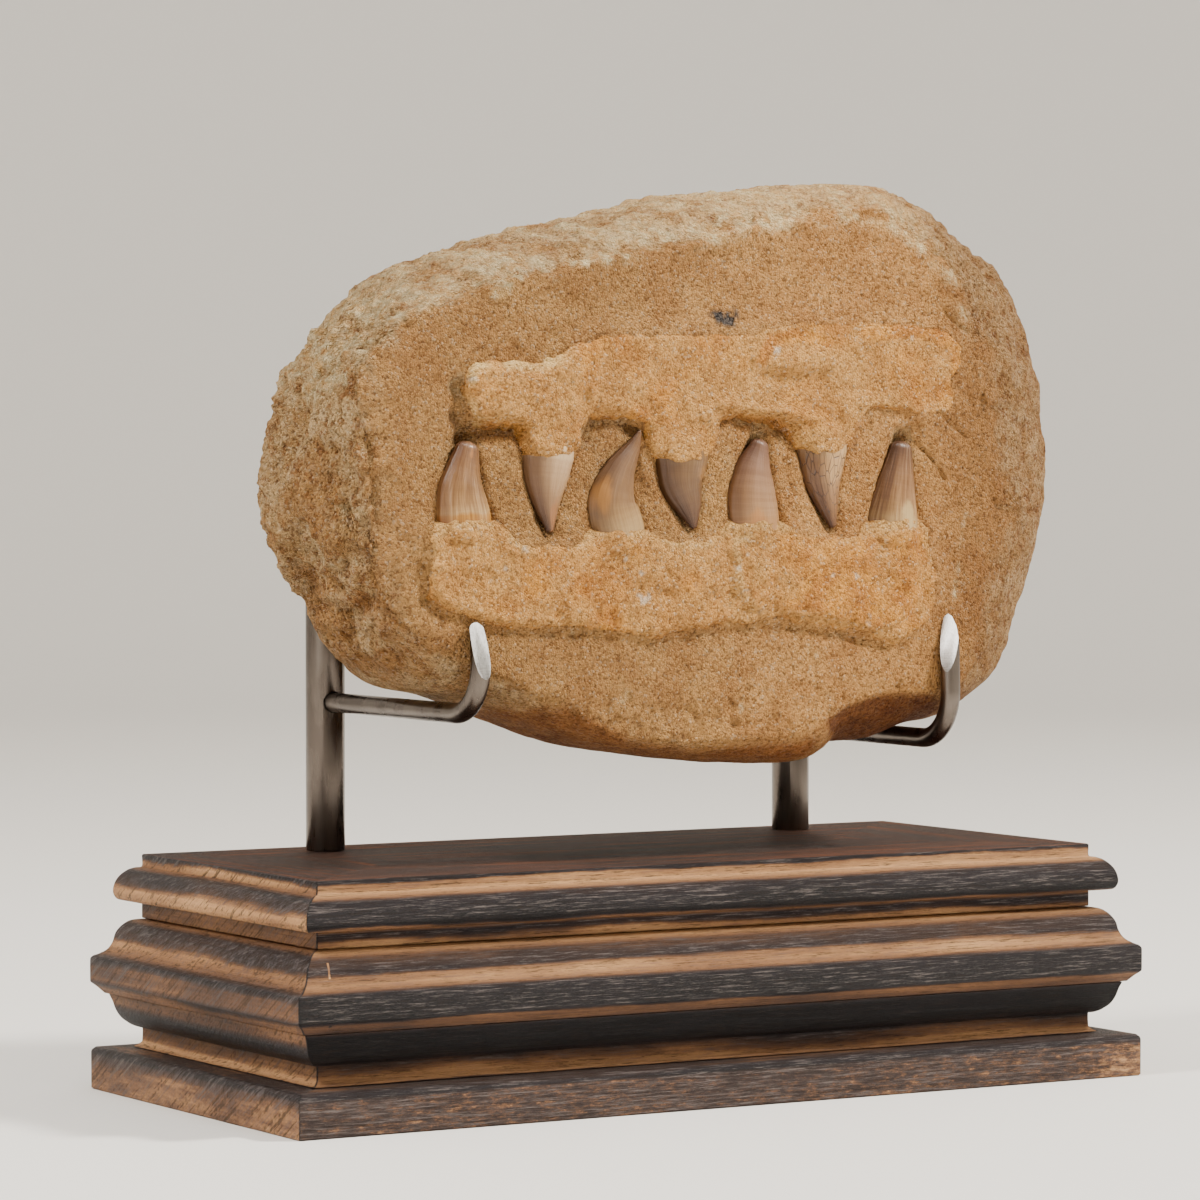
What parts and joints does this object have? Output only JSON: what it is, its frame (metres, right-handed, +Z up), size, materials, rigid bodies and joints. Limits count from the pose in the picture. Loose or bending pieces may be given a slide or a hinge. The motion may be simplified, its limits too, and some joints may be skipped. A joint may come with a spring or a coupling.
{
  "type": "fossil jaw in matrix on display stand",
  "caption": "Prepared fossil jaw section in relief on a rounded sandstone slab, held upright by steel hooks on posts over a stepped wooden plinth.",
  "frame": {"origin": "middle of the flat underside of the plinth's foot board", "axes": "+Z up, +X along the plinth's long side towards the right as seen from the front, front of the stone faces -Y"},
  "size_m": [0.2958, 0.1388, 0.2783],
  "materials": {
    "sandstone": "loose sandy grain on the dressed face, pale crust on the rounded edge",
    "bone": "matt fossil bone with ochre staining",
    "enamel": "glossy mauve brown enamel with fine lengthwise lines",
    "steel": "satin stainless bar",
    "charred_wood": "scorched on the raised edges and brushed back to bare wood in the hollows"
  },
  "bodies": {
    "root": {"matrix": "sandstone", "upper_jaw": "bone", "lower_jaw": "bone", "lower_tooth_1": "enamel", "lower_tooth_2": "enamel", "lower_tooth_3": "enamel", "lower_tooth_4": "enamel", "upper_tooth_1": "enamel", "upper_tooth_2": "enamel", "upper_tooth_3": "enamel", "post_left": "steel", "post_right": "steel", "hook_left": "steel", "hook_right": "steel", "top_moulding": "charred_wood", "neck_board": "charred_wood", "middle_moulding": "charred_wood", "lower_moulding": "charred_wood", "foot_board": "charred_wood"}
  },
  "joints": []
}
